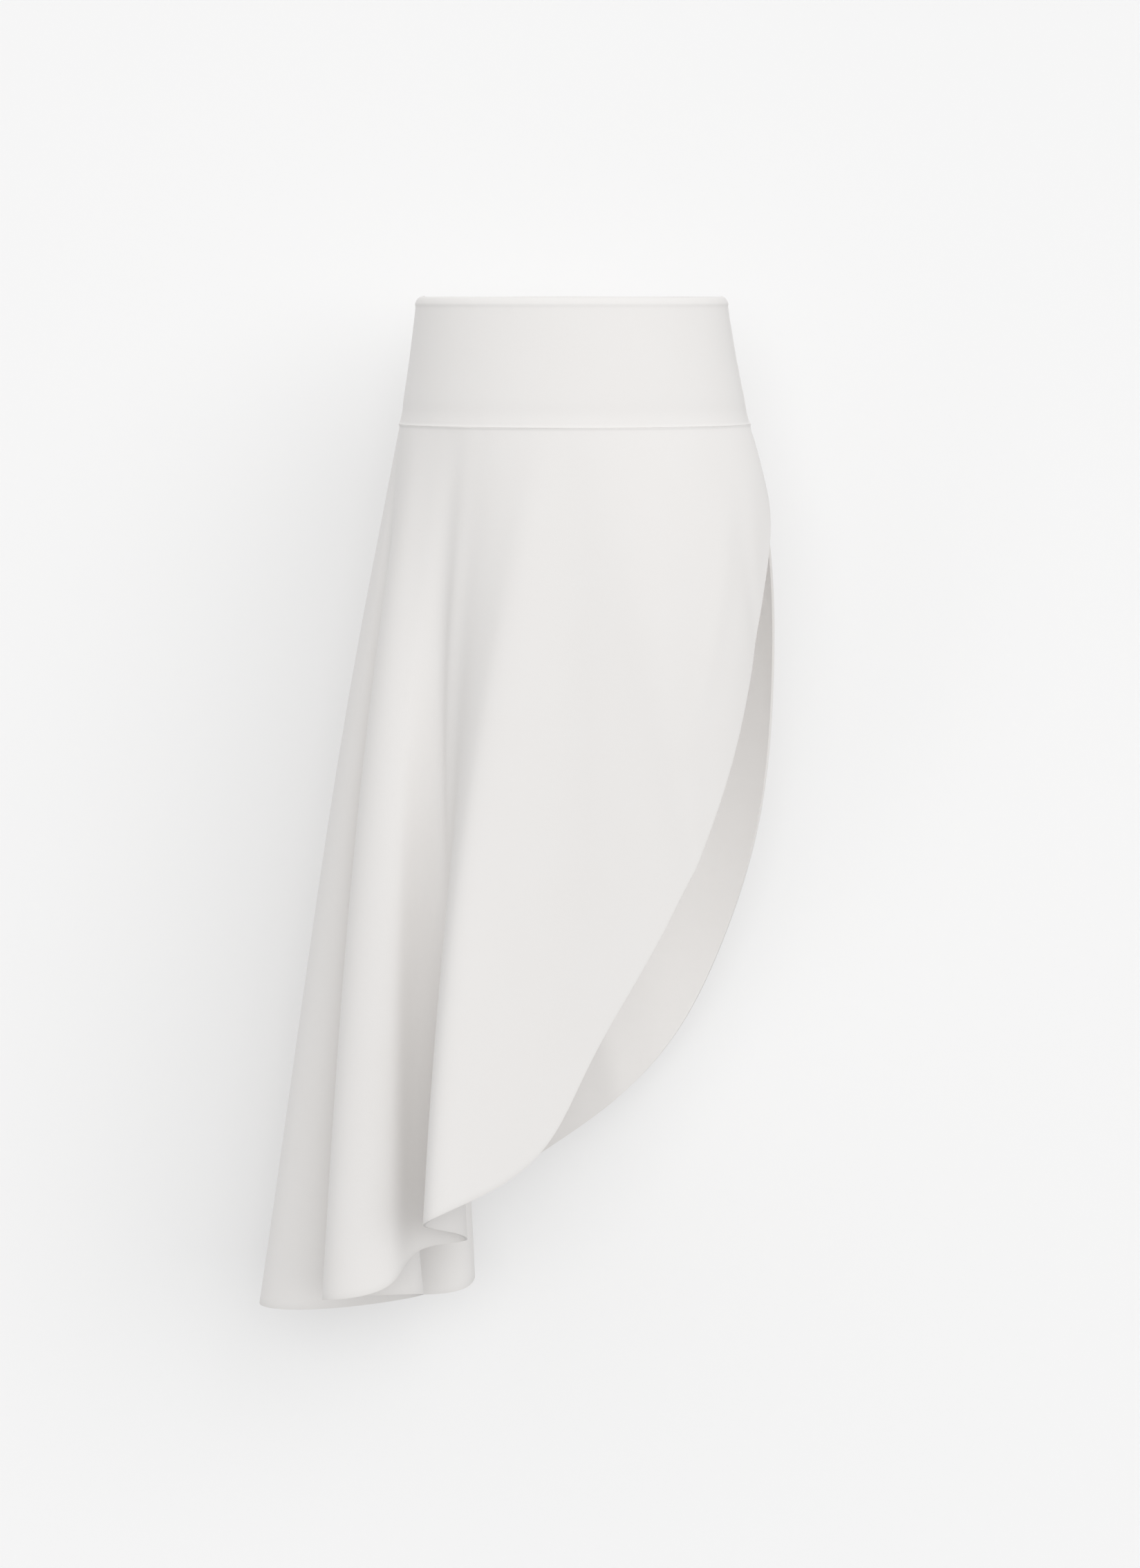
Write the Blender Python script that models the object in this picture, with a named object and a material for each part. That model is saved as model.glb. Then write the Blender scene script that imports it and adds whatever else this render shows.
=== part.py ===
"""Asymmetric skirt with a wide shaped waistband, held as on a wearer.

Units are metres, +Z is up, the origin is the middle of the waist's top edge. The wearer faces -Y, so
seen from the front +X is on the right. Each panel is a wall of cloth whose outer face is worked out from
the waistband's rings and from a table of lines that run from the waistband's seam down to the hem, one
for each fold and a few guides between them.
"""

import math
from collections import namedtuple

import bmesh
import bpy
import numpy as np

CM = 0.01

# Cloth and seams
BAND_WALL = 0.003
SKIRT_WALL = 0.002
SEAM_GAP = 0.0003
EDGE_COLUMN = 0.003
LEVEL_TOLERANCE = 1e-6

# Waistband, as rings from its top edge down to the seam that the skirt hangs from
Ring = namedtuple("Ring", "height half_width half_depth centre_x centre_y")
BAND_RINGS = (
    Ring(0.0, 0.1250, 0.0910, 0.0010, 0.0),
    Ring(-0.0520, 0.1325, 0.1000, 0.0022, 0.0),
    Ring(-0.1030, 0.1420, 0.1080, 0.0035, 0.0),
)
BAND_ROLL = 0.0045
BAND_ROLL_ANGLES = (80, 50, 25, 0)
BAND_COLUMNS = 24
BAND_ROWS = 5

# The seam's place round the ring, in degrees from the right side, the front first
RIGHT_SIDE = 0.0
LEFT_SIDE = 190.0
WHOLE_TURN = 360.0

# Lines down the skirt. Turn is the line's place on the seam, hem_x to hem_z are its lower end, bow_x and
# bow_y are how far it stands off a straight line at half its length, all in centimetres, and columns is
# the number of columns of faces up to the next line.
Line = namedtuple("Line", "name turn hem_x hem_y hem_z bow_x bow_y columns")
LINES = (
    Line("right side", 0, 14.75, 0.0, -11.5, 0.0, 0.0, 3),
    Line("front hip", 11, 16.15, -2.7, -16.9, 0.1, -0.1, 3),
    Line("front edge upper", 23, 15.6, -5.6, -23.4, 0.3, -0.3, 4),
    Line("front edge middle", 38, 13.65, -9.1, -34.2, 0.5, -0.5, 4),
    Line("front edge lower", 56, 10.05, -11.8, -44.9, 0.5, -0.8, 4),
    Line("front curve", 72, 5.05, -13.1, -54.4, 0.4, -1.0, 4),
    Line("front bend", 82, 1.45, -13.4, -60.9, 0.2, -1.0, 4),
    Line("front sweep", 90, -1.9, -13.7, -67.2, 0.0, -0.9, 4),
    Line("front tip", 96, -6.6, -14.9, -70.75, -0.7, -0.9, 4),
    Line("first ridge front", 102, -11.5, -15.2, -73.1, -1.3, -0.5, 3),
    Line("first ridge back", 107, -11.6, -13.0, -73.9, -1.3, -0.3, 4),
    Line("first trough front", 124, -8.7, -7.5, -75.9, -1.0, 0.0, 3),
    Line("first trough back", 129, -8.8, -5.6, -76.7, -1.0, 0.0, 3),
    Line("second rise", 136, -12.2, -6.6, -77.2, -0.9, -0.3, 3),
    Line("second crest", 144, -14.5, -9.4, -79.4, -0.8, -0.6, 4),
    Line("second ridge front", 152, -19.8, -8.5, -80.9, -0.85, -0.2, 3),
    Line("second ridge back", 156, -20.0, -5.9, -81.4, -0.85, 0.0, 4),
    Line("second trough front", 166, -12.5, 0.0, -82.4, -1.4, 0.0, 3),
    Line("second trough back", 168, -12.5, 1.7, -82.9, -1.4, 0.0, 4),
    Line("third crest", 175, -20.4, 2.0, -84.1, -0.8, -0.3, 4),
    Line("third ridge front", 180.5, -26.1, 4.8, -84.4, -0.2, 0.0, 3),
    Line("third ridge back", 183, -26.0, 7.0, -84.4, -0.2, 0.0, 3),
    Line("left side", 190, -21.6, 9.0, -84.2, -0.3, 0.4, 5),
    Line("third trough front", 204, -8.5, 9.2, -83.5, 0.3, 0.2, 3),
    Line("third trough back", 207, -8.5, 11.2, -83.0, 0.3, 0.3, 4),
    Line("fourth ridge front", 218, -14.3, 14.0, -81.0, -0.6, 0.4, 3),
    Line("fourth ridge back", 223, -13.4, 16.2, -80.2, -0.5, 0.6, 4),
    Line("back left", 239, -8.0, 15.6, -77.0, 0.0, 0.8, 4),
    Line("back tip", 254, -2.0, 13.4, -72.8, 0.2, 1.0, 4),
    Line("back curve", 267, 3.6, 12.2, -68.5, 0.4, 1.1, 4),
    Line("back sweep", 281, 8.8, 11.3, -62.7, 0.6, 1.1, 4),
    Line("back edge lower", 296, 12.8, 9.9, -54.6, 0.7, 0.9, 4),
    Line("back edge middle", 314, 15.9, 7.2, -43.5, 0.7, 0.6, 4),
    Line("back edge upper", 332, 16.9, 4.4, -30.6, 0.5, 0.3, 4),
    Line("back hip", 348, 16.45, 2.2, -20.6, 0.2, 0.1, 3),
    Line("right side again", 360, 14.75, 0.0, -11.5, 0.0, 0.0, 0),
)
SKIRT_ROWS = 16

# How far the hips round the cloth out, most at a third of a line's length, and the length of line that
# takes all of it
HIP_ROUNDNESS = 0.005
HIP_NEEDS = 0.40
HIP_PEAK = 4 / 27

# Edges that turn by more than this, in degrees, are shaded sharp
SHARP_TURN = 50.0

# Materials: name, colour and roughness
BAND_CLOTH = ("off_white_band", (0.86, 0.85, 0.83, 1.0), 0.85)
SKIRT_CLOTH = ("off_white_skirt", (0.86, 0.85, 0.82, 1.0), 0.85)


def clear_scene():
    for obj in list(bpy.data.objects):
        bpy.data.objects.remove(obj, do_unlink=True)


def collection_for(name):
    found = bpy.data.collections.new(name)
    bpy.context.scene.collection.children.link(found)
    return found


def cloth(name, colour, roughness):
    """A plain matte Principled material."""
    material = bpy.data.materials.new(name)
    material.use_nodes = True
    shader = material.node_tree.nodes["Principled BSDF"]
    shader.inputs["Base Color"].default_value = colour
    shader.inputs["Roughness"].default_value = roughness
    shader.inputs["Metallic"].default_value = 0.0
    return material


def smooth_through(knots, values, at):
    """The natural cubic spline through values at knots, read at the places in at."""
    knots = np.asarray(knots, float)
    values = np.asarray(values, float)
    count = len(knots)
    step = np.diff(knots)
    slope = np.diff(values) / step
    matrix = np.eye(count)
    right = np.zeros(count)
    for i in range(1, count - 1):
        matrix[i, i - 1 : i + 2] = step[i - 1], 2 * (step[i - 1] + step[i]), step[i]
        right[i] = 6 * (slope[i] - slope[i - 1])
    bend = np.linalg.solve(matrix, right)
    piece = np.clip(np.searchsorted(knots, at) - 1, 0, count - 2)
    after = at - knots[piece]
    before = knots[piece + 1] - at
    width = step[piece]
    curved = (bend[piece] * before**3 + bend[piece + 1] * after**3) / (6 * width)
    start = (values[piece] / width - bend[piece] * width / 6) * before
    end = (values[piece + 1] / width - bend[piece + 1] * width / 6) * after
    return curved + start + end


def ring_at(height):
    """The half width, half depth and centre of the waistband's ring at a height."""
    up = [-ring.height for ring in BAND_RINGS]
    columns = ("half_width", "half_depth", "centre_x", "centre_y")
    return [
        smooth_through(up, [getattr(ring, column) for ring in BAND_RINGS], -height)
        for column in columns
    ]


def band_face(turn, height):
    """Points of the waistband's outer face, for a place round the ring in degrees and a height."""
    angle = np.radians(turn)
    half_width, half_depth, centre_x, centre_y = ring_at(height)
    above_roll = np.clip(BAND_ROLL + height, 0.0, BAND_ROLL)
    turned_in = BAND_ROLL - np.sqrt(BAND_ROLL**2 - above_roll**2)
    half_width = half_width - turned_in
    half_depth = half_depth - turned_in
    across = centre_x + half_width * np.cos(angle)
    away = centre_y - half_depth * np.sin(angle)
    return np.stack([across, away, height + 0 * angle], axis=-1)


def hem_places():
    """How far along the hem each line ends, the measure that places everything across the skirt."""
    ends = np.array([[line.hem_x, line.hem_y, line.hem_z] for line in LINES]) * CM
    return np.concatenate([[0.0], np.cumsum(np.linalg.norm(np.diff(ends, axis=0), axis=1))])


def skirt_face(place, drop):
    """Points of the skirt's outer face, for a place along the hem and a share of the way down to it."""
    knots = hem_places()

    def column(name):
        return smooth_through(knots, [getattr(line, name) for line in LINES], place)

    top = band_face(column("turn"), np.full_like(place, BAND_RINGS[-1].height - SEAM_GAP / 2))
    hem = np.stack([column("hem_x"), column("hem_y"), column("hem_z")], axis=-1) * CM
    bow = np.stack([column("bow_x"), column("bow_y"), 0 * place], axis=-1) * CM
    angle = np.radians(column("turn"))
    outwards = np.stack([np.cos(angle), -np.sin(angle), 0 * angle], axis=-1)
    length = (top - hem)[..., 2:]
    hip = HIP_ROUNDNESS * np.minimum(length / HIP_NEEDS, 1.0) * outwards
    share = drop[..., None]
    straight = top + share * (hem - top)
    return straight + 4 * share * (1 - share) * bow + share * (1 - share) ** 2 / HIP_PEAK * hip


def with_edge_columns(places, reach):
    """The places, with one more just inside each end, so that the wall's rim stands square."""
    first, last = places[0], places[-1]
    return np.concatenate([[first, first + reach], places[1:-1], [last - reach, last]])


def panel(name, face, places, drops, wall, seam_level, material, collection):
    """One cut piece: a grid laid on the outer face, drawn back from its side seams, and given its wall.

    Its rim along the waist seam is level, at seam_level.
    """
    across, down = np.meshgrid(places, drops, indexing="ij")
    points = face(across, down)
    for end, inner in ((0, 1), (-1, -2)):
        inwards = points[inner] - points[end]
        inwards /= np.linalg.norm(inwards, axis=-1, keepdims=True)
        points[end] += inwards * SEAM_GAP / 2
    bm = bmesh.new()
    bmesh.ops.create_grid(bm, x_segments=len(places) - 1, y_segments=len(drops) - 1, size=1.0)
    for vert in bm.verts:
        i = round((vert.co.x + 1) / 2 * (len(places) - 1))
        j = round((1 - vert.co.y) / 2 * (len(drops) - 1))
        vert.co = points[i, j]
    bmesh.ops.reverse_faces(bm, faces=bm.faces[:])
    outer = set(bm.verts)
    seam = [vert for vert in outer if abs(vert.co.z - seam_level) < LEVEL_TOLERANCE]
    bmesh.ops.solidify(bm, geom=bm.faces[:], thickness=wall)
    for vert in seam:
        for edge in vert.link_edges:
            other = edge.other_vert(vert)
            if other not in outer:
                other.co.z = seam_level
    mesh = bpy.data.meshes.new(name)
    bm.to_mesh(mesh)
    bm.free()
    mesh.shade_smooth()
    mesh.set_sharp_from_angle(angle=math.radians(SHARP_TURN))
    mesh.materials.append(material)
    obj = bpy.data.objects.new(name, mesh)
    collection.objects.link(obj)
    return obj


def waistband(collection):
    """The two halves of the waistband, which meet at the side seams."""
    material = cloth(*BAND_CLOTH)
    rolled = BAND_ROLL * (np.sin(np.radians(BAND_ROLL_ANGLES)) - 1)
    bottom = BAND_RINGS[-1].height + SEAM_GAP / 2
    heights = np.concatenate([rolled[:-1], np.linspace(rolled[-1], bottom, BAND_ROWS + 1)])
    reach = math.degrees(EDGE_COLUMN / BAND_RINGS[0].half_width)
    for name, start, end in (
        ("waistband_front", RIGHT_SIDE, LEFT_SIDE),
        ("waistband_back", LEFT_SIDE, WHOLE_TURN),
    ):
        turns = with_edge_columns(np.linspace(start, end, BAND_COLUMNS + 1), reach)
        panel(name, band_face, turns, heights, BAND_WALL, bottom, material, collection)


def skirt(collection):
    """The front and back of the skirt, from the waistband's seam to the hem."""
    material = cloth(*SKIRT_CLOTH)
    knots = hem_places()
    names = [line.name for line in LINES]
    left = names.index("left side")
    top = BAND_RINGS[-1].height - SEAM_GAP / 2
    drops = np.linspace(0.0, 1.0, SKIRT_ROWS + 1)
    for name, first, last in (("skirt_front", 0, left), ("skirt_back", left, len(LINES) - 1)):
        places = [knots[first]]
        for i in range(first, last):
            places.extend(np.linspace(knots[i], knots[i + 1], LINES[i].columns + 1)[1:])
        places = with_edge_columns(np.array(places), EDGE_COLUMN)
        panel(name, skirt_face, places, drops, SKIRT_WALL, top, material, collection)


def main():
    clear_scene()
    collection = collection_for("asymmetric_skirt")
    waistband(collection)
    skirt(collection)


main()
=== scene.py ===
"""The looks of the asymmetric skirt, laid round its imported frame.

The four cloth pieces are finer versions of the frame's solids, worked out from the same rings and the
same lines, with the soft folds, the rolled waist edge and the sewn seams of the real cloth. Sizes are
metres where nothing else is said, +Z is up and the wearer faces -Y.
"""

import math
from collections import namedtuple

import bmesh
import bpy
import numpy as np
from mathutils import Matrix, Vector


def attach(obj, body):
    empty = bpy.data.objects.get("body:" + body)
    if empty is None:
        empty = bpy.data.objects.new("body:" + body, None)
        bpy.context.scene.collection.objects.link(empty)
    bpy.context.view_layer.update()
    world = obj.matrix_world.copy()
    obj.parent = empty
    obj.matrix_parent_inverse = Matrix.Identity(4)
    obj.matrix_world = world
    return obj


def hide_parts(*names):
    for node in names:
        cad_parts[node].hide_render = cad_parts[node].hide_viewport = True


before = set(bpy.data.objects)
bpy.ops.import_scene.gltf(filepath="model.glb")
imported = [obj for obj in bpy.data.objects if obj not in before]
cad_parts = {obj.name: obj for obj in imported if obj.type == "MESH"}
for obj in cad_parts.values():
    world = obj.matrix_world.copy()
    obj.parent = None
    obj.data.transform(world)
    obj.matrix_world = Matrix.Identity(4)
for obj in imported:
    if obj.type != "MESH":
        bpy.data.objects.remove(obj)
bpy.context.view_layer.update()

bl_info = {
    "name": "Asymmetric Skirt",
    "version": (1, 0, 0),
    "blender": (4, 5, 0),
    "location": "View3D > Sidebar > Skirt",
    "description": "Builds the cloth of a skirt with a wide waistband and a deep fluted side",
    "category": "Add Mesh",
}

BODY = "root"
CM = 0.01
MM = 0.001

# Waistband, as rings from its top edge down to the seam that the skirt hangs from
Ring = namedtuple("Ring", "height half_width half_depth centre_x centre_y")
BAND_RINGS = (
    Ring(0.0, 0.1250, 0.0910, 0.0010, 0.0),
    Ring(-0.0520, 0.1325, 0.1000, 0.0022, 0.0),
    Ring(-0.1030, 0.1420, 0.1080, 0.0035, 0.0),
)
WAIST_SEAM = BAND_RINGS[-1].height
BAND_ROLL = 0.0045
ROLL_STEPS = 9
SEAM_GAP = 0.0003

# The seam's place round the ring, in degrees from the right side, the front first
RIGHT_SIDE = 0.0
LEFT_SIDE = 190.0
WHOLE_TURN = 360.0
FRONT_MIDDLE = 90.0
BACK_MIDDLE = 270.0

# Lines down the skirt. Turn is the line's place on the seam, hem_x to hem_z are its lower end, and bow_x
# and bow_y are how far it stands off a straight line at half its length, all in centimetres.
Line = namedtuple("Line", "name turn hem_x hem_y hem_z bow_x bow_y")
LINES = (
    Line("right side", 0, 14.75, 0.0, -11.5, 0.0, 0.0),
    Line("front hip", 11, 16.15, -2.7, -16.9, 0.1, -0.1),
    Line("front edge upper", 23, 15.6, -5.6, -23.4, 0.3, -0.3),
    Line("front edge middle", 38, 13.65, -9.1, -34.2, 0.5, -0.5),
    Line("front edge lower", 56, 10.05, -11.8, -44.9, 0.5, -0.8),
    Line("front curve", 72, 5.05, -13.1, -54.4, 0.4, -1.0),
    Line("front bend", 82, 1.45, -13.4, -60.9, 0.2, -1.0),
    Line("front sweep", 90, -1.9, -13.7, -67.2, 0.0, -0.9),
    Line("front tip", 96, -6.6, -14.9, -70.75, -0.7, -0.9),
    Line("first ridge front", 102, -11.5, -15.2, -73.1, -1.3, -0.5),
    Line("first ridge back", 107, -11.6, -13.0, -73.9, -1.3, -0.3),
    Line("first trough front", 124, -8.7, -7.5, -75.9, -1.0, 0.0),
    Line("first trough back", 129, -8.8, -5.6, -76.7, -1.0, 0.0),
    Line("second rise", 136, -12.2, -6.6, -77.2, -0.9, -0.3),
    Line("second crest", 144, -14.5, -9.4, -79.4, -0.8, -0.6),
    Line("second ridge front", 152, -19.8, -8.5, -80.9, -0.85, -0.2),
    Line("second ridge back", 156, -20.0, -5.9, -81.4, -0.85, 0.0),
    Line("second trough front", 166, -12.5, 0.0, -82.4, -1.4, 0.0),
    Line("second trough back", 168, -12.5, 1.7, -82.9, -1.4, 0.0),
    Line("third crest", 175, -20.4, 2.0, -84.1, -0.8, -0.3),
    Line("third ridge front", 180.5, -26.1, 4.8, -84.4, -0.2, 0.0),
    Line("third ridge back", 183, -26.0, 7.0, -84.4, -0.2, 0.0),
    Line("left side", 190, -21.6, 9.0, -84.2, -0.3, 0.4),
    Line("third trough front", 204, -8.5, 9.2, -83.5, 0.3, 0.2),
    Line("third trough back", 207, -8.5, 11.2, -83.0, 0.3, 0.3),
    Line("fourth ridge front", 218, -14.3, 14.0, -81.0, -0.6, 0.4),
    Line("fourth ridge back", 223, -13.4, 16.2, -80.2, -0.5, 0.6),
    Line("back left", 239, -8.0, 15.6, -77.0, 0.0, 0.8),
    Line("back tip", 254, -2.0, 13.4, -72.8, 0.2, 1.0),
    Line("back curve", 267, 3.6, 12.2, -68.5, 0.4, 1.1),
    Line("back sweep", 281, 8.8, 11.3, -62.7, 0.6, 1.1),
    Line("back edge lower", 296, 12.8, 9.9, -54.6, 0.7, 0.9),
    Line("back edge middle", 314, 15.9, 7.2, -43.5, 0.7, 0.6),
    Line("back edge upper", 332, 16.9, 4.4, -30.6, 0.5, 0.3),
    Line("back hip", 348, 16.45, 2.2, -20.6, 0.2, 0.1),
    Line("right side again", 360, 14.75, 0.0, -11.5, 0.0, 0.0),
)

# How far the hips round the cloth out, most at a third of a line's length, and the length of line that
# takes all of it
HIP_ROUNDNESS = 0.005
HIP_NEEDS = 0.40
HIP_PEAK = 4 / 27

# Soft folds, listed one by one. A fold's axis runs from turn_top, at down_top centimetres below the panel's
# upper edge, to turn_low at down_low. Width is half its width in centimetres, and height is how far it
# stands out in millimetres, less than nothing for a hollow.
Fold = namedtuple("Fold", "name turn_top turn_low down_top down_low width height")
SKIRT_FOLDS = (
    Fold("long crest of the front", 106, 96, -10, 52, 2.4, 2.6),
    Fold("shallow hollow of the front", 80, 52, -4, 44, 3.2, -2.6),
    Fold("swell over the hip", 42, 24, -6, 26, 2.6, 1.6),
    Fold("pull from the open side", 30, 62, -2, 30, 1.6, -0.8),
    Fold("low swell of the front", 66, 58, 22, 50, 3.0, 1.2),
    Fold("dimple by the cut edge", 62, 48, 26, 46, 1.8, -1.0),
    Fold("drag at the front tip", 92, 97, 42, 72, 2.0, -1.0),
    Fold("first trough's start", 126, 127, -4, 46, 0.95, -4.8),
    Fold("second flute's start", 142, 143, -5, 40, 1.7, 2.6),
    Fold("second trough's start", 166, 167, -4, 42, 0.9, -3.2),
    Fold("third flute's start", 176, 178, -4, 30, 1.1, 1.4),
    Fold("left side's hollow", 202, 204, -3, 34, 1.3, -3.0),
    Fold("fourth flute's start", 218, 219, -4, 40, 1.8, 2.4),
    Fold("back's left hollow", 236, 240, -2, 62, 2.2, -3.2),
    Fold("back's long crest", 252, 257, -6, 58, 2.6, 3.0),
    Fold("back's middle hollow", 274, 268, -5, 54, 2.6, -3.0),
    Fold("back's swell", 296, 286, -4, 46, 2.8, 2.6),
    Fold("back's pull", 330, 304, -3, 34, 1.8, -1.6),
    Fold("back's low ripple", 262, 272, 40, 70, 1.8, 1.6),
    Fold("back's hip swell", 338, 326, -4, 22, 2.2, 1.4),
)
BAND_FOLDS = (
    Fold("front's left hollow", 142, 150, -3, 12, 2.6, -0.5),
    Fold("front's swell", 104, 96, -4, 13, 3.6, 0.4),
    Fold("front's drag", 70, 52, 1, 12, 2.0, -0.35),
    Fold("front's right swell", 44, 38, -3, 9, 2.2, 0.45),
    Fold("back's left swell", 226, 232, -2, 12, 2.8, 0.4),
    Fold("back's middle hollow", 268, 262, -3, 11, 3.4, -0.5),
    Fold("back's right drag", 312, 300, 0, 13, 2.2, -0.35),
)

# Pucker along the sewn seams: each wave has its length in millimetres, its share of the height and where
# it starts, in turns
PUCKER_WAVES = ((17.0, 0.45, 0.06), (11.0, 0.30, 0.33), (29.0, 0.25, 0.64))

# Places of rows and columns next to a sewn seam, in millimetres from it
SEAM_ROWS = (0.0, 0.4, 0.9, 1.5, 2.3, 3.3, 4.6, 6.4)

# The waistband's swell above its seam: how far above it stands out most, and how wide it is. Then the
# groove's half width as a share of its drop, and how far from the groove its pucker fades out.
PUFF_HEIGHT = 0.010
PUFF_WIDTH = 0.007
GROOVE_SHARE = 0.3
GROOVE_REACH = 0.004

# Steps between rows and columns away from the seams
BAND_STEP = 0.0030
BAND_GROOVE_STEP = 0.0007
SKIRT_STEP = 0.0052
SKIRT_ROWS = 118
FINE_SAMPLES = 1601

# Wide soft lights: how many degrees each is wide, and which way it shines
Sun = namedtuple("Sun", "name width towards")
KEY_LIGHT = Sun("Key", 50, (-0.48, 0.80, -0.36))
FRONT_LIGHT = Sun("Front", 30, (0.05, 0.97, -0.22))
BACK_LIGHT = Sun("Back", 70, (0.45, -0.75, -0.40))

# The even light's share by which it is stronger from above and weaker from below
LIGHT_RISE = 0.35

# The backdrop and the floor: how large they are, and how pale so that both come out like the world's ground
GROUND_SIZE = 6.0
BACKDROP_PAINT = 0.972
FLOOR_PAINT = 0.985

# A soft light inside the skirt, as a photographer sets to lift the hollow
INNER_LIGHT_PLACE = (0.0, -0.06, -0.42)
INNER_LIGHT_TOWARDS = (0.55, 1.0, 0.0)
INNER_LIGHT_WIDTH = 0.10
INNER_LIGHT_HEIGHT = 0.46


class ClothSettings(bpy.types.PropertyGroup):
    """The cloth and how it is cut."""

    band_wall: bpy.props.FloatProperty(
        name="Band thickness",
        description="Thickness of the doubled waistband",
        default=0.003,
        unit="LENGTH",
    )
    skirt_wall: bpy.props.FloatProperty(
        name="Skirt thickness",
        description="Thickness of the skirt's cloth",
        default=0.002,
        unit="LENGTH",
    )
    edge_round: bpy.props.FloatProperty(
        name="Edge rounding", description="Rounding of the cut edges", default=0.00045, unit="LENGTH"
    )
    colour: bpy.props.FloatVectorProperty(
        name="Colour",
        description="The cloth's own colour",
        size=4,
        subtype="COLOR",
        default=(0.872, 0.860, 0.850, 1.0),
    )
    # Painted shade: this darker, warmer colour is laid down between the crepe's threads and in the grooves of
    # the thread's twist. It also gives the crepe its random mottle and a darker cut edge at the hem.
    shade_and_mottle_colour: bpy.props.FloatVectorProperty(
        name="Painted shade and mottle colour",
        description="Painted shade down between the crepe's threads, also its mottle",
        size=4,
        subtype="COLOR",
        default=(0.845, 0.822, 0.800, 1.0),
    )
    pitch: bpy.props.FloatProperty(
        name="Crepe pitch",
        description="Distance between the crepe's threads",
        default=0.0007,
        unit="LENGTH",
    )


class SeamSettings(bpy.types.PropertyGroup):
    """The sewing."""

    dip: bpy.props.FloatProperty(
        name="Seam dip",
        description="How deep the cloth turns in at a seam",
        default=0.0008,
        unit="LENGTH",
    )
    reach: bpy.props.FloatProperty(
        name="Seam reach",
        description="How far from a seam the cloth turns in",
        default=0.0010,
        unit="LENGTH",
    )
    puff: bpy.props.FloatProperty(
        name="Puff",
        description="How far the cloth swells beside the waist seam",
        default=0.0006,
        unit="LENGTH",
    )
    pucker: bpy.props.FloatProperty(
        name="Pucker", description="Height of the pucker along a seam", default=0.00013, unit="LENGTH"
    )
    groove: bpy.props.FloatProperty(
        name="Groove",
        description="Depth of the stitched groove under the waist edge",
        default=0.0006,
        unit="LENGTH",
    )
    groove_drop: bpy.props.FloatProperty(
        name="Groove drop",
        description="How far under the waist edge the groove runs",
        default=0.0058,
        unit="LENGTH",
    )
    stitch: bpy.props.FloatProperty(
        name="Stitch", description="Length from one stitch to the next", default=0.0026, unit="LENGTH"
    )
    thread: bpy.props.FloatProperty(
        name="Thread", description="Thickness of the sewing thread", default=0.00028, unit="LENGTH"
    )


class StudioSettings(bpy.types.PropertyGroup):
    """The camera, the lights and the ground."""

    distance: bpy.props.FloatProperty(
        name="Camera distance",
        description="From the waist's middle to the camera",
        default=3.55,
        unit="LENGTH",
    )
    height: bpy.props.FloatProperty(
        name="Camera height", description="Above the waist's top edge", default=0.0028, unit="LENGTH"
    )
    pitch: bpy.props.FloatProperty(
        name="Camera pitch",
        description="How far the camera looks down",
        default=math.radians(6.43),
        subtype="ANGLE",
    )
    lens: bpy.props.FloatProperty(
        name="Lens", description="Focal length in millimetres on a 36 mm sensor", default=100.0
    )
    sky: bpy.props.FloatProperty(
        name="Soft light", description="Strength of the even light from all sides", default=0.64
    )
    key: bpy.props.FloatProperty(
        name="Key light", description="Strength of the soft light from the front right", default=0.60
    )
    front: bpy.props.FloatProperty(
        name="Front light", description="Strength of the soft light beside the camera", default=0.50
    )
    inside: bpy.props.FloatProperty(
        name="Inside light", description="Power in watts of the soft light in the hollow", default=0.15
    )
    back: bpy.props.FloatProperty(
        name="Back light", description="Strength of the soft light from behind on the left", default=0.30
    )
    backdrop_depth: bpy.props.FloatProperty(
        name="Backdrop depth",
        description="How far behind the waist's middle it stands",
        default=0.21,
        unit="LENGTH",
    )
    backdrop: bpy.props.FloatProperty(
        name="Backdrop", description="Brightness of the pale ground behind the skirt", default=0.9216
    )
    floor_drop: bpy.props.FloatProperty(
        name="Floor",
        description="How far the floor lies below the waist's top edge",
        default=1.40,
        unit="LENGTH",
    )


def smooth_through(knots, values, at):
    """The natural cubic spline through values at knots, read at the places in at."""
    knots = np.asarray(knots, float)
    values = np.asarray(values, float)
    count = len(knots)
    step = np.diff(knots)
    slope = np.diff(values) / step
    matrix = np.eye(count)
    right = np.zeros(count)
    for i in range(1, count - 1):
        matrix[i, i - 1 : i + 2] = step[i - 1], 2 * (step[i - 1] + step[i]), step[i]
        right[i] = 6 * (slope[i] - slope[i - 1])
    bend = np.linalg.solve(matrix, right)
    piece = np.clip(np.searchsorted(knots, at) - 1, 0, count - 2)
    after = at - knots[piece]
    before = knots[piece + 1] - at
    width = step[piece]
    curved = (bend[piece] * before**3 + bend[piece + 1] * after**3) / (6 * width)
    start = (values[piece] / width - bend[piece] * width / 6) * before
    end = (values[piece + 1] / width - bend[piece + 1] * width / 6) * after
    return curved + start + end


def band_face(turn, height):
    """Points of the waistband's outer face, for a place round the ring in degrees and a height."""
    angle = np.radians(turn)
    drops = [-ring.height for ring in BAND_RINGS]
    half_width, half_depth, centre_x, centre_y = (
        smooth_through(drops, [getattr(ring, column) for ring in BAND_RINGS], -height)
        for column in ("half_width", "half_depth", "centre_x", "centre_y")
    )
    above_roll = np.clip(BAND_ROLL + height, 0.0, BAND_ROLL)
    turned_in = BAND_ROLL - np.sqrt(BAND_ROLL**2 - above_roll**2)
    across = centre_x + (half_width - turned_in) * np.cos(angle)
    away = centre_y - (half_depth - turned_in) * np.sin(angle)
    return np.stack([across, away, height + 0 * angle], axis=-1)


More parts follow.
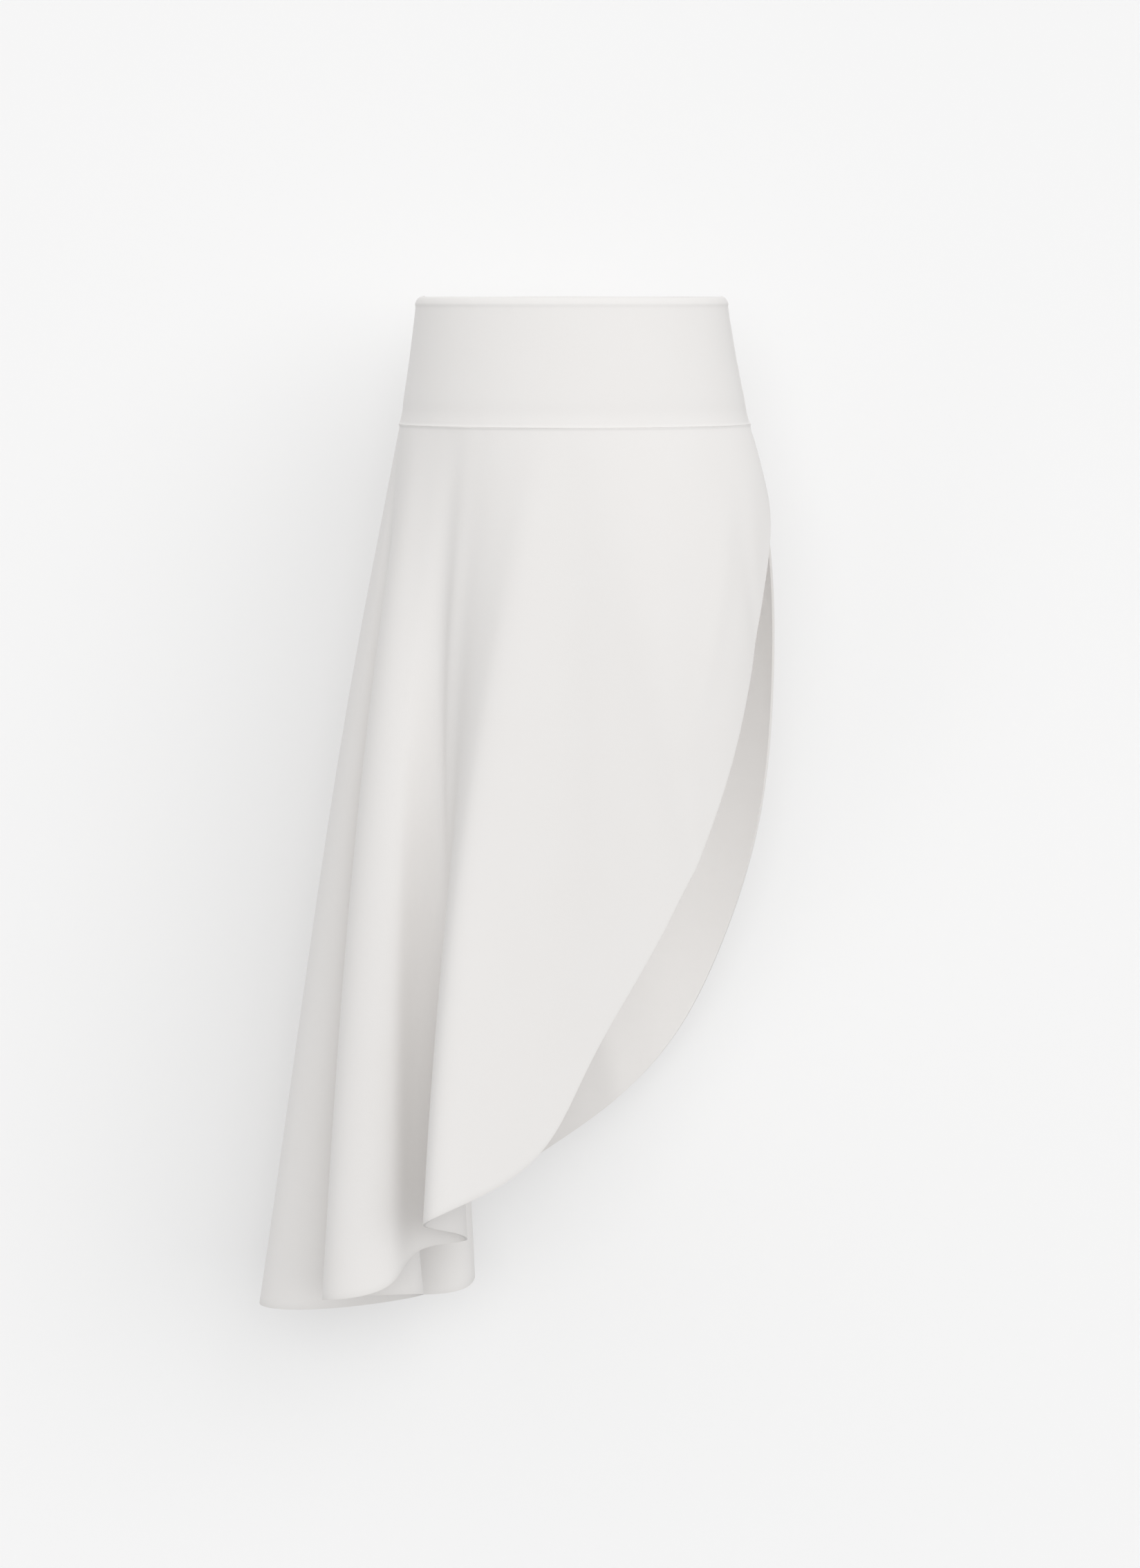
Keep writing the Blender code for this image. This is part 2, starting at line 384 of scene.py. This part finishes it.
def hem_places():
    """How far along the hem each line ends, the measure that places everything across the skirt."""
    ends = np.array([[line.hem_x, line.hem_y, line.hem_z] for line in LINES]) * CM
    return np.concatenate([[0.0], np.cumsum(np.linalg.norm(np.diff(ends, axis=0), axis=1))])


def across_skirt(column, place):
    """A column of the table of lines, read at a place along the hem."""
    return smooth_through(hem_places(), [getattr(line, column) for line in LINES], place)


def skirt_face(place, drop):
    """Points of the skirt's outer face, for a place along the hem and a share of the way down to it."""
    turn = across_skirt("turn", place)
    top = band_face(turn, np.full_like(place, WAIST_SEAM - SEAM_GAP / 2))
    hem = np.stack([across_skirt(name, place) for name in ("hem_x", "hem_y", "hem_z")], axis=-1) * CM
    bow = np.stack([across_skirt("bow_x", place), across_skirt("bow_y", place), 0 * place], axis=-1) * CM
    angle = np.radians(turn)
    outwards = np.stack([np.cos(angle), -np.sin(angle), 0 * angle], axis=-1)
    length = (top - hem)[..., 2:]
    hip = HIP_ROUNDNESS * np.minimum(length / HIP_NEEDS, 1.0) * outwards
    share = drop[..., None]
    straight = top + share * (hem - top)
    return straight + 4 * share * (1 - share) * bow + share * (1 - share) ** 2 / HIP_PEAK * hip


def run_lengths(points, axis):
    """How far each point of a grid lies along its row or column, in metres."""
    steps = np.linalg.norm(np.diff(points, axis=axis), axis=-1)
    start = np.zeros_like(np.take(steps, [0], axis=axis))
    return np.concatenate([start, np.cumsum(steps, axis=axis)], axis=axis)


def outward_normals(points):
    """The direction away from the wearer at each point of a grid."""
    across = np.gradient(points, axis=0)
    down = np.gradient(points, axis=1)
    normal = np.cross(down, across)
    return normal / np.linalg.norm(normal, axis=-1, keepdims=True)


def pucker(along):
    """The uneven wave that sewing leaves in the cloth, between about -1 and 1."""
    return sum(
        share * np.sin(math.tau * (along / (length * MM) + start)) for length, share, start in PUCKER_WAVES
    )


def fold_relief(folds, turns, across, down):
    """How far the folds lift each point of a panel out, in metres."""
    lift = np.zeros_like(across)
    for fold in folds:
        run = (down / CM - fold.down_top) / (fold.down_low - fold.down_top)
        inside = np.clip(run, 0.0, 1.0)
        axis_turn = fold.turn_top + inside * (fold.turn_low - fold.turn_top)
        for j in range(across.shape[1]):
            axis = np.interp(axis_turn[:, j], turns[:, j], across[:, j])
            beside = (across[:, j] - axis) / (fold.width * CM)
            lift[:, j] += fold.height * MM * np.exp(-(beside**2)) * np.sin(math.pi * inside[:, j]) ** 2
    return lift


def seam_relief(distance, along, seams):
    """How far the cloth turns in next to a seam, with the pucker that runs along it."""
    dip = -seams.dip * np.exp(-((distance / seams.reach) ** 2))
    return dip + seams.pucker * pucker(along) * np.exp(-distance / (6 * seams.reach))


def corner_from(start, end, from_start, from_end):
    """The corner of a flat triangle on the start-to-end side, at its distances, on that side's left."""
    side = end - start
    length = np.linalg.norm(side)
    side = side / length
    along = (from_start**2 - from_end**2 + length**2) / (2 * length)
    off = math.sqrt(max(from_start**2 - along**2, 0.0))
    return start + along * side + off * np.array([-side[1], side[0]])


def laid_flat(tops, ends, grain):
    """The panel unrolled strip by strip: the flat places of its upper and lower edge, in metres.

    The line numbered grain comes to lie straight down the cloth.
    """
    def apart(a, b):
        return float(np.linalg.norm(a - b))

    flat_tops = [np.zeros(2)]
    flat_ends = [np.array([0.0, -apart(tops[0], ends[0])])]
    for i in range(1, len(tops)):
        old_top, old_end = flat_tops[-1], flat_ends[-1]
        end = corner_from(old_top, old_end, apart(tops[i - 1], ends[i]), apart(ends[i - 1], ends[i]))
        top = corner_from(old_top, end, apart(tops[i - 1], tops[i]), apart(ends[i], tops[i]))
        flat_tops.append(top)
        flat_ends.append(end)
    flat_tops, flat_ends = np.array(flat_tops), np.array(flat_ends)
    down = flat_ends[grain] - flat_tops[grain]
    turn = -math.pi / 2 - math.atan2(down[1], down[0])
    spin = np.array([[math.cos(turn), math.sin(turn)], [-math.sin(turn), math.cos(turn)]])
    return flat_tops @ spin, flat_ends @ spin


def next_to_seams(length, step):
    """Places from 0 to length: close together at both ends, where seams are, and a step apart between."""
    near = np.array(SEAM_ROWS) * MM
    count = max(2, round((length - 2 * near[-1]) / step))
    between = np.linspace(near[-1], length - near[-1], count + 1)
    return np.concatenate([near[:-1], between, (length - near[:-1])[::-1]])


def cloth_piece(name, node, points, flat, to_edge, wall, material):
    """One cut piece: a grid laid on its outer face, with the flat cut as its UV map, thickened inwards."""
    columns, rows = points.shape[:2]
    bm = bmesh.new()
    bmesh.ops.create_grid(bm, x_segments=columns - 1, y_segments=rows - 1, size=1.0)
    cut = bm.loops.layers.uv.new("cut")
    edge = bm.verts.layers.float.new("to_edge")
    grid_place = {}
    for vert in bm.verts:
        i = round((vert.co.x + 1) / 2 * (columns - 1))
        j = round((1 - vert.co.y) / 2 * (rows - 1))
        grid_place[vert] = i, j
        vert.co = points[i, j]
        vert[edge] = to_edge[i, j]
    for face in bm.faces:
        for loop in face.loops:
            loop[cut].uv = flat[grid_place[loop.vert]]
    bmesh.ops.reverse_faces(bm, faces=bm.faces[:])
    mesh = bpy.data.meshes.new(name)
    bm.to_mesh(mesh)
    bm.free()
    mesh.shade_smooth()
    mesh.materials.append(material)
    piece = bpy.data.objects.new(name, mesh)
    bpy.context.scene.collection.objects.link(piece)
    thick = piece.modifiers.new("Thickness", "SOLIDIFY")
    thick.thickness = wall
    thick.offset = -1.0
    thick.use_even_offset = True
    thick.use_quality_normals = True
    rounding = piece.modifiers.new("Soft cut edges", "BEVEL")
    rounding.width = bpy.context.scene.skirt_cloth.edge_round
    rounding.segments = 2
    rounding.limit_method = "ANGLE"
    rounding.angle_limit = math.radians(60)
    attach(piece, BODY)
    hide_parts(node)
    return piece


def group_socket(group, name, direction, kind, value=None):
    socket = group.interface.new_socket(name=name, in_out=direction, socket_type=kind)
    if value is not None:
        socket.default_value = value


def crepe_group():
    """Shader group for a matte crepe: fine uneven threads both ways, pebbled, with a soft mottle and painted
    shade between the threads.
    """
    found = bpy.data.node_groups.get("Crepe")
    if found:
        return found
    group = bpy.data.node_groups.new("Crepe", "ShaderNodeTree")
    group_socket(group, "Cut", "INPUT", "NodeSocketVector")
    group_socket(group, "Body", "INPUT", "NodeSocketVector")
    group_socket(group, "To Edge", "INPUT", "NodeSocketFloat", 1.0)
    group_socket(group, "Pitch", "INPUT", "NodeSocketFloat", 0.0007)
    group_socket(group, "Colour", "INPUT", "NodeSocketColor", (0.87, 0.85, 0.83, 1.0))
    group_socket(group, "Shade And Mottle Colour", "INPUT", "NodeSocketColor", (0.83, 0.81, 0.77, 1.0))
    group_socket(group, "Color", "OUTPUT", "NodeSocketColor")
    group_socket(group, "Roughness", "OUTPUT", "NodeSocketFloat")
    group_socket(group, "Height", "OUTPUT", "NodeSocketFloat")
    nodes, links = group.nodes, group.links
    inputs = nodes.new("NodeGroupInput")
    outputs = nodes.new("NodeGroupOutput")

    def math_node(operation, first, second, third=None):
        node = nodes.new("ShaderNodeMath")
        node.operation = operation
        for socket, value in zip(node.inputs, (first, second, third)):
            if isinstance(value, bpy.types.NodeSocket):
                links.new(value, socket)
            elif value is not None:
                socket.default_value = value
        return node.outputs[0]

    def noise(vector, scale, detail, roughness):
        node = nodes.new("ShaderNodeTexNoise")
        links.new(vector, node.inputs["Vector"])
        node.inputs["Scale"].default_value = scale
        node.inputs["Detail"].default_value = detail
        node.inputs["Roughness"].default_value = roughness
        return node.outputs["Fac"]

    per_pitch = math_node("DIVIDE", 1.0, inputs.outputs["Pitch"])
    scaled = nodes.new("ShaderNodeVectorMath")
    scaled.operation = "SCALE"
    links.new(inputs.outputs["Cut"], scaled.inputs[0])
    links.new(per_pitch, scaled.inputs["Scale"])
    wander = nodes.new("ShaderNodeTexNoise")
    links.new(scaled.outputs[0], wander.inputs["Vector"])
    wander.inputs["Scale"].default_value = 0.35
    wander.inputs["Detail"].default_value = 1.0
    shifted = nodes.new("ShaderNodeVectorMath")
    shifted.operation = "MULTIPLY_ADD"
    links.new(wander.outputs["Color"], shifted.inputs[0])
    shifted.inputs[1].default_value = (1.6, 1.6, 0.0)
    links.new(scaled.outputs[0], shifted.inputs[2])
    apart = nodes.new("ShaderNodeSeparateXYZ")
    links.new(shifted.outputs[0], apart.inputs[0])
    warp = math_node("SINE", math_node("MULTIPLY", apart.outputs["X"], math.tau), 0.0)
    weft = math_node("SINE", math_node("MULTIPLY", apart.outputs["Y"], math.tau), 0.0)
    weave = math_node("MULTIPLY_ADD", math_node("MULTIPLY", warp, weft), 0.5, 0.5)
    pebble = noise(scaled.outputs[0], 0.8, 2.0, 0.55)
    crinkle = noise(scaled.outputs[0], 0.16, 2.0, 0.5)
    fine = math_node("MULTIPLY_ADD", weave, 0.35, math_node("MULTIPLY", pebble, 0.65))
    height = math_node("MULTIPLY_ADD", crinkle, 0.9, fine)
    near_edge = math_node("MULTIPLY", inputs.outputs["To Edge"], -1.0 / 0.0016)
    edge = math_node("POWER", math.e, near_edge)
    pressed = math_node("MULTIPLY_ADD", edge, -0.5, height)
    links.new(pressed, outputs.inputs["Height"])

    mottle = noise(inputs.outputs["Body"], 26.0, 3.0, 0.6)
    # Painted shade: where the threads lie low the colour goes towards the darker colour. A thin strip at the
    # hem's cut edge and a random mottle darken it too.
    at_edge = math_node("MULTIPLY", edge, 0.35)
    deep = math_node("MULTIPLY_ADD", math_node("SUBTRACT", 1.0, fine), 0.45, at_edge)
    deep = math_node("MULTIPLY_ADD", mottle, 0.35, deep)
    shade = nodes.new("ShaderNodeMix")
    shade.data_type = "RGBA"
    shade.clamp_factor = True
    links.new(deep, shade.inputs["Factor"])
    links.new(inputs.outputs["Colour"], shade.inputs["A"])
    links.new(inputs.outputs["Shade And Mottle Colour"], shade.inputs["B"])
    links.new(shade.outputs["Result"], outputs.inputs["Color"])
    links.new(math_node("MULTIPLY_ADD", pebble, 0.12, 0.78), outputs.inputs["Roughness"])
    return group


def cloth_material(name, relief):
    """Matte off-white crepe, for one of the garment's two weights of cloth."""
    settings = bpy.context.scene.skirt_cloth
    material = bpy.data.materials.new(name)
    material.use_nodes = True
    nodes, links = material.node_tree.nodes, material.node_tree.links
    shader = nodes["Principled BSDF"]
    shader.inputs["Sheen Weight"].default_value = 0.12
    shader.inputs["Sheen Roughness"].default_value = 0.45
    shader.inputs["Specular IOR Level"].default_value = 0.25
    crepe = nodes.new("ShaderNodeGroup")
    crepe.node_tree = crepe_group()
    crepe.inputs["Pitch"].default_value = settings.pitch
    crepe.inputs["Colour"].default_value = settings.colour
    crepe.inputs["Shade And Mottle Colour"].default_value = settings.shade_and_mottle_colour
    cut = nodes.new("ShaderNodeUVMap")
    cut.uv_map = "cut"
    place = nodes.new("ShaderNodeTexCoord")
    edge = nodes.new("ShaderNodeAttribute")
    edge.attribute_name = "to_edge"
    bump = nodes.new("ShaderNodeBump")
    bump.inputs["Strength"].default_value = 0.5
    bump.inputs["Distance"].default_value = relief
    links.new(cut.outputs["UV"], crepe.inputs["Cut"])
    links.new(place.outputs["Object"], crepe.inputs["Body"])
    links.new(edge.outputs["Fac"], crepe.inputs["To Edge"])
    links.new(crepe.outputs["Color"], shader.inputs["Base Color"])
    links.new(crepe.outputs["Roughness"], shader.inputs["Roughness"])
    links.new(crepe.outputs["Height"], bump.inputs["Height"])
    links.new(bump.outputs["Normal"], shader.inputs["Normal"])
    return material


def band_heights(seams):
    """Heights of the waistband's rows: over the roll, close together at the groove and at the seam."""
    roll = BAND_ROLL * (np.sin(np.linspace(math.radians(80), 0.0, ROLL_STEPS)) - 1)
    bottom = WAIST_SEAM + SEAM_GAP / 2
    near_seam = bottom + np.array(SEAM_ROWS)[::-1] * MM
    groove_end = -2 * seams.groove_drop
    groove_rows = round((roll[-1] - groove_end) / BAND_GROOVE_STEP)
    between = round((groove_end - near_seam[0]) / BAND_STEP)
    return np.concatenate(
        [
            roll[:-1],
            np.linspace(roll[-1], groove_end, groove_rows + 1)[:-1],
            np.linspace(groove_end, near_seam[0], between + 1)[:-1],
            near_seam,
        ]
    )


def pull_in_sides(points):
    """Moves a panel's two end columns inwards by half a seam's gap."""
    for end, inner in ((0, 1), (-1, -2)):
        inwards = points[inner] - points[end]
        inwards /= np.linalg.norm(inwards, axis=-1, keepdims=True)
        points[end] += inwards * SEAM_GAP / 2


def waistband_half(name, node, start, end, grain, material):
    """Half of the waistband, between two side seams."""
    scene = bpy.context.scene
    seams = scene.skirt_seams
    heights = band_heights(seams)
    ring = band_face(np.linspace(start, end, 361), np.full(361, WAIST_SEAM))
    ring_run = run_lengths(ring[:, None], 0)[:, 0]
    turns = np.interp(next_to_seams(ring_run[-1], BAND_STEP), ring_run, np.linspace(start, end, 361))
    turn, height = np.meshgrid(turns, heights, indexing="ij")
    points = band_face(turn, height)
    pull_in_sides(points)
    across = run_lengths(points, 0)
    down = run_lengths(points, 1)
    above_seam = height - heights[-1]
    from_groove = height + seams.groove_drop
    groove = -seams.groove * np.exp(-((from_groove / (GROOVE_SHARE * seams.groove_drop)) ** 2))
    puff = seams.puff * np.exp(-(((above_seam - PUFF_HEIGHT) / PUFF_WIDTH) ** 2))
    relief = groove + puff + fold_relief(BAND_FOLDS, turn, across, down)
    relief += seam_relief(above_seam, across, seams)
    relief += seams.pucker * pucker(across + 0.3) * np.exp(-((from_groove / GROOVE_REACH) ** 2))
    relief += seam_relief(across, down, seams) + seam_relief(across[-1] - across, down, seams)
    points += relief[..., None] * outward_normals(points)
    flat_tops, flat_ends = laid_flat(points[:, 0], points[:, -1], int(np.searchsorted(turns, grain)))
    share = (down / down[:, -1:])[..., None]
    flat = flat_tops[:, None] * (1 - share) + flat_ends[:, None] * share
    piece = cloth_piece(
        name, node, points, flat, np.ones_like(down), scene.skirt_cloth.band_wall, material
    )
    return piece


def skirt_grid(first, last):
    """Places and drops of a panel's grid, whose rows and columns keep true distances from its seams."""
    knots = hem_places()
    names = [line.name for line in LINES]
    start, end = knots[names.index(first)], knots[names.index(last)]
    near = np.array(SEAM_ROWS) * MM
    fine = np.linspace(start, end, FINE_SAMPLES)
    across, even = np.meshgrid(fine, np.linspace(0.0, 1.0, 101), indexing="ij")
    length = run_lengths(skirt_face(across, even), 1)[:, -1]
    columns = round((end - start) / SKIRT_STEP)
    shares = np.linspace(0.0, 1.0, SKIRT_ROWS - len(near) + 1)[1:]
    places, drops = [], []
    rows = [(distance, 0.0) for distance in near] + [(near[-1], share) for share in shares]
    for seam_distance, share in rows:
        drop = (seam_distance + share * (length - seam_distance)) / length
        run = run_lengths(skirt_face(fine, drop)[:, None], 0)[:, 0]
        even_run = np.interp(np.linspace(start, end, columns + 1), fine, run) / run[-1]
        between = near[-1] + even_run * (run[-1] - 2 * near[-1])
        wanted = np.concatenate([near[:-1], between, (run[-1] - near[:-1])[::-1]])
        places.append(np.interp(wanted, run, fine))
        drops.append(np.interp(places[-1], fine, drop))
    return np.stack(places, axis=1), np.stack(drops, axis=1)


def skirt_half(name, node, first, last, grain, material):
    """The front or the back of the skirt, between two of the lines."""
    scene = bpy.context.scene
    seams = scene.skirt_seams
    places, drops = skirt_grid(first, last)
    points = skirt_face(places, drops)
    pull_in_sides(points)
    turns = across_skirt("turn", places)
    across = run_lengths(points, 0)
    down = run_lengths(points, 1)
    relief = fold_relief(SKIRT_FOLDS, turns, across, down)
    relief += seam_relief(down, across, seams)
    relief += seam_relief(across, down, seams) + seam_relief(across[-1] - across, down, seams)
    points += relief[..., None] * outward_normals(points)
    flat_tops, flat_ends = laid_flat(points[:, 0], points[:, -1], int(np.searchsorted(turns[:, 0], grain)))
    share = (down / down[:, -1:])[..., None]
    flat = flat_tops[:, None] * (1 - share) + flat_ends[:, None] * share
    piece = cloth_piece(
        name, node, points, flat, down[:, -1:] - down, scene.skirt_cloth.skirt_wall, material
    )
    return piece


def stitch_row(name, start, end, material):
    """A row of sunken stitches in the groove under the waist's edge, between two side seams."""
    seams = bpy.context.scene.skirt_seams
    level = -seams.groove_drop
    turns = np.linspace(start, end, 721)
    ring = band_face(turns, np.full(721, level))
    run = run_lengths(ring[:, None], 0)[:, 0]
    count = round(run[-1] / seams.stitch)
    bm = bmesh.new()
    for i in range(count):
        middle = (i + 0.5) / count * run[-1]
        ends = [np.interp(middle + side * 0.36 * seams.stitch, run, turns) for side in (-1, 1)]
        left, right = (band_face(np.array([turn]), np.array([level]))[0] for turn in ends)
        along = Vector(right - left)
        outwards = along.cross(Vector((0, 0, 1))).normalized()
        if outwards.dot(Vector(left)) < 0:
            outwards.negate()
        centre = Vector((left + right) / 2) - outwards * (seams.groove - 0.3 * seams.thread)
        made = bmesh.ops.create_uvsphere(bm, u_segments=8, v_segments=5, radius=seams.thread / 2)
        turn_to = along.to_track_quat("Z", "Y").to_matrix()
        for vert in made["verts"]:
            stretched = Vector((vert.co.x, vert.co.y, vert.co.z * along.length / seams.thread))
            vert.co = centre + turn_to @ stretched
    mesh = bpy.data.meshes.new(name)
    bm.to_mesh(mesh)
    bm.free()
    mesh.shade_smooth()
    mesh.materials.append(material)
    piece = bpy.data.objects.new(name, mesh)
    bpy.context.scene.collection.objects.link(piece)
    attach(piece, BODY)
    return piece


def thread_material():
    """Sewing thread in the cloth's colour, twisted, with painted shade in the twist's grooves and a slight
    shine.
    """
    settings = bpy.context.scene.skirt_cloth
    material = bpy.data.materials.new("Thread")
    material.use_nodes = True
    nodes, links = material.node_tree.nodes, material.node_tree.links
    shader = nodes["Principled BSDF"]
    shader.inputs["Sheen Weight"].default_value = 0.2
    place = nodes.new("ShaderNodeTexCoord")
    twist = nodes.new("ShaderNodeTexWave")
    twist.bands_direction = "DIAGONAL"
    twist.inputs["Scale"].default_value = 1 / settings.pitch
    # Painted shade: the grooves of the twist take the darker shade colour.
    ramp = nodes.new("ShaderNodeMix")
    ramp.data_type = "RGBA"
    ramp.inputs["A"].default_value = settings.shade_and_mottle_colour
    ramp.inputs["B"].default_value = settings.colour
    rough = nodes.new("ShaderNodeMapRange")
    rough.inputs["To Min"].default_value = 0.45
    rough.inputs["To Max"].default_value = 0.65
    links.new(place.outputs["Object"], twist.inputs["Vector"])
    links.new(twist.outputs["Fac"], ramp.inputs["Factor"])
    links.new(ramp.outputs["Result"], shader.inputs["Base Color"])
    links.new(twist.outputs["Fac"], rough.inputs["Value"])
    links.new(rough.outputs["Result"], shader.inputs["Roughness"])
    return material


class SKIRT_OT_waistband(bpy.types.Operator):
    """Build the two halves of the waistband"""

    bl_idname = "skirt.waistband"
    bl_label = "Waistband"

    def execute(self, context):
        material = cloth_material("Band crepe", 0.00012)
        waistband_half(
            "waistband_front_cloth", "waistband_front", RIGHT_SIDE, LEFT_SIDE, FRONT_MIDDLE, material
        )
        waistband_half("waistband_back_cloth", "waistband_back", LEFT_SIDE, WHOLE_TURN, BACK_MIDDLE, material)
        return {"FINISHED"}


class SKIRT_OT_panels(bpy.types.Operator):
    """Build the front and the back of the skirt"""

    bl_idname = "skirt.panels"
    bl_label = "Skirt panels"

    def execute(self, context):
        material = cloth_material("Skirt crepe", 0.00012)
        skirt_half("skirt_front_cloth", "skirt_front", "right side", "left side", FRONT_MIDDLE, material)
        skirt_half("skirt_back_cloth", "skirt_back", "left side", "right side again", BACK_MIDDLE, material)
        return {"FINISHED"}


class SKIRT_OT_stitches(bpy.types.Operator):
    """Sew the rows of stitches under the waist's edge"""

    bl_idname = "skirt.stitches"
    bl_label = "Waist stitches"

    def execute(self, context):
        material = thread_material()
        stitch_row("waist_stitches_front", RIGHT_SIDE, LEFT_SIDE, material)
        stitch_row("waist_stitches_back", LEFT_SIDE, WHOLE_TURN, material)
        return {"FINISHED"}


def soft_light(sun, strength):
    """A wide, even light that shines along a direction."""
    light = bpy.data.lights.new(sun.name, "SUN")
    light.energy = strength
    light.angle = math.radians(sun.width)
    obj = bpy.data.objects.new(sun.name, light)
    obj.rotation_euler = Vector(sun.towards).to_track_quat("-Z", "Y").to_euler()
    bpy.context.scene.collection.objects.link(obj)


def inner_light(power):
    """A panel of light inside the skirt that faces the inner side of its back."""
    light = bpy.data.lights.new("Inside", "AREA")
    light.shape = "RECTANGLE"
    light.size = INNER_LIGHT_WIDTH
    light.size_y = INNER_LIGHT_HEIGHT
    light.energy = power
    obj = bpy.data.objects.new("Inside", light)
    obj.location = INNER_LIGHT_PLACE
    obj.rotation_euler = Vector(INNER_LIGHT_TOWARDS).to_track_quat("-Z", "Y").to_euler()
    obj.visible_camera = False
    bpy.context.scene.collection.objects.link(obj)


def studio_world(strength, seen):
    """Even light from all sides, seen by the camera as a pale ground."""
    world = bpy.data.worlds.new("Studio")
    world.use_nodes = True
    nodes, links = world.node_tree.nodes, world.node_tree.links
    light = nodes["Background"]
    light.inputs["Color"].default_value = (1.0, 1.0, 1.0, 1.0)
    place = nodes.new("ShaderNodeTexCoord")
    apart = nodes.new("ShaderNodeSeparateXYZ")
    rising = nodes.new("ShaderNodeMapRange")
    rising.inputs["From Min"].default_value = -1.0
    rising.inputs["From Max"].default_value = 1.0
    rising.inputs["To Min"].default_value = strength * (1 - LIGHT_RISE)
    rising.inputs["To Max"].default_value = strength * (1 + LIGHT_RISE)
    links.new(place.outputs["Generated"], apart.inputs[0])
    links.new(apart.outputs["Z"], rising.inputs["Value"])
    links.new(rising.outputs["Result"], light.inputs["Strength"])
    ground = nodes.new("ShaderNodeBackground")
    ground.inputs["Color"].default_value = (seen, seen, seen, 1.0)
    path = nodes.new("ShaderNodeLightPath")
    choose = nodes.new("ShaderNodeMixShader")
    links.new(path.outputs["Is Camera Ray"], choose.inputs[0])
    links.new(light.outputs[0], choose.inputs[1])
    links.new(ground.outputs[0], choose.inputs[2])
    links.new(choose.outputs[0], nodes["World Output"].inputs["Surface"])
    bpy.context.scene.world = world


def ground_sheet(name, away, level, paint):
    """A large pale sheet that takes the skirt's soft shadow: the floor, or the backdrop behind."""
    bm = bmesh.new()
    bmesh.ops.create_grid(bm, x_segments=1, y_segments=1, size=GROUND_SIZE / 2)
    if not level:
        bmesh.ops.rotate(bm, verts=bm.verts[:], matrix=Matrix.Rotation(math.pi / 2, 3, "X"))
    bmesh.ops.translate(bm, verts=bm.verts[:], vec=(0, 0, -away) if level else (0, away, 0))
    mesh = bpy.data.meshes.new(name)
    bm.to_mesh(mesh)
    bm.free()
    material = bpy.data.materials.new(name)
    material.use_nodes = True
    nodes, links = material.node_tree.nodes, material.node_tree.links
    shader = nodes["Principled BSDF"]
    shader.inputs["Base Color"].default_value = (paint, paint, paint, 1.0)
    shader.inputs["Roughness"].default_value = 1.0
    shader.inputs["Specular IOR Level"].default_value = 0.0
    clear = nodes.new("ShaderNodeBsdfTransparent")
    side = nodes.new("ShaderNodeNewGeometry")
    choose = nodes.new("ShaderNodeMixShader")
    links.new(side.outputs["Backfacing"], choose.inputs[0])
    links.new(shader.outputs[0], choose.inputs[1])
    links.new(clear.outputs[0], choose.inputs[2])
    links.new(choose.outputs[0], nodes["Material Output"].inputs["Surface"])
    mesh.materials.append(material)
    sheet = bpy.data.objects.new(name, mesh)
    bpy.context.scene.collection.objects.link(sheet)
    sheet.visible_diffuse = False
    sheet.visible_glossy = False
    sheet.visible_transmission = False
    sheet.visible_shadow = False


class SKIRT_OT_stage(bpy.types.Operator):
    """Set up the floor, the lights and the camera"""

    bl_idname = "skirt.stage"
    bl_label = "Stage"

    def execute(self, context):
        scene = context.scene
        studio = scene.skirt_studio
        scene.view_settings.view_transform = "Standard"
        studio_world(studio.sky, studio.backdrop)
        soft_light(KEY_LIGHT, studio.key)
        soft_light(FRONT_LIGHT, studio.front)
        soft_light(BACK_LIGHT, studio.back)
        inner_light(studio.inside)
        ground_sheet("backdrop", studio.backdrop_depth, False, BACKDROP_PAINT)
        ground_sheet("floor", studio.floor_drop, True, FLOOR_PAINT)
        camera = bpy.data.objects.new("Camera", bpy.data.cameras.new("Camera"))
        camera.data.lens = studio.lens
        camera.data.sensor_width = 36.0
        camera.location = (0.0, -studio.distance, studio.height)
        camera.rotation_euler = (math.pi / 2 - studio.pitch, 0.0, 0.0)
        scene.collection.objects.link(camera)
        scene.camera = camera
        return {"FINISHED"}


class SKIRT_PT_sidebar(bpy.types.Panel):
    """The skirt's sizes and the buttons that build it"""

    bl_idname = "SKIRT_PT_sidebar"
    bl_label = "Asymmetric Skirt"
    bl_space_type = "VIEW_3D"
    bl_region_type = "UI"
    bl_category = "Skirt"

    def draw(self, context):
        for settings in (context.scene.skirt_cloth, context.scene.skirt_seams, context.scene.skirt_studio):
            box = self.layout.box()
            for name in settings.__annotations__:
                box.prop(settings, name)
        for operator in OPERATORS:
            self.layout.operator(operator.bl_idname)


OPERATORS = (SKIRT_OT_waistband, SKIRT_OT_panels, SKIRT_OT_stitches, SKIRT_OT_stage)
CLASSES = (ClothSettings, SeamSettings, StudioSettings, *OPERATORS, SKIRT_PT_sidebar)


def register():
    for cls in CLASSES:
        bpy.utils.register_class(cls)
    bpy.types.Scene.skirt_cloth = bpy.props.PointerProperty(type=ClothSettings)
    bpy.types.Scene.skirt_seams = bpy.props.PointerProperty(type=SeamSettings)
    bpy.types.Scene.skirt_studio = bpy.props.PointerProperty(type=StudioSettings)


def unregister():
    del bpy.types.Scene.skirt_cloth
    del bpy.types.Scene.skirt_seams
    del bpy.types.Scene.skirt_studio
    for cls in reversed(CLASSES):
        bpy.utils.unregister_class(cls)


def main():
    register()
    bpy.ops.skirt.waistband()
    bpy.ops.skirt.panels()
    bpy.ops.skirt.stitches()
    bpy.ops.skirt.stage()


if __name__ == "__main__":
    main()
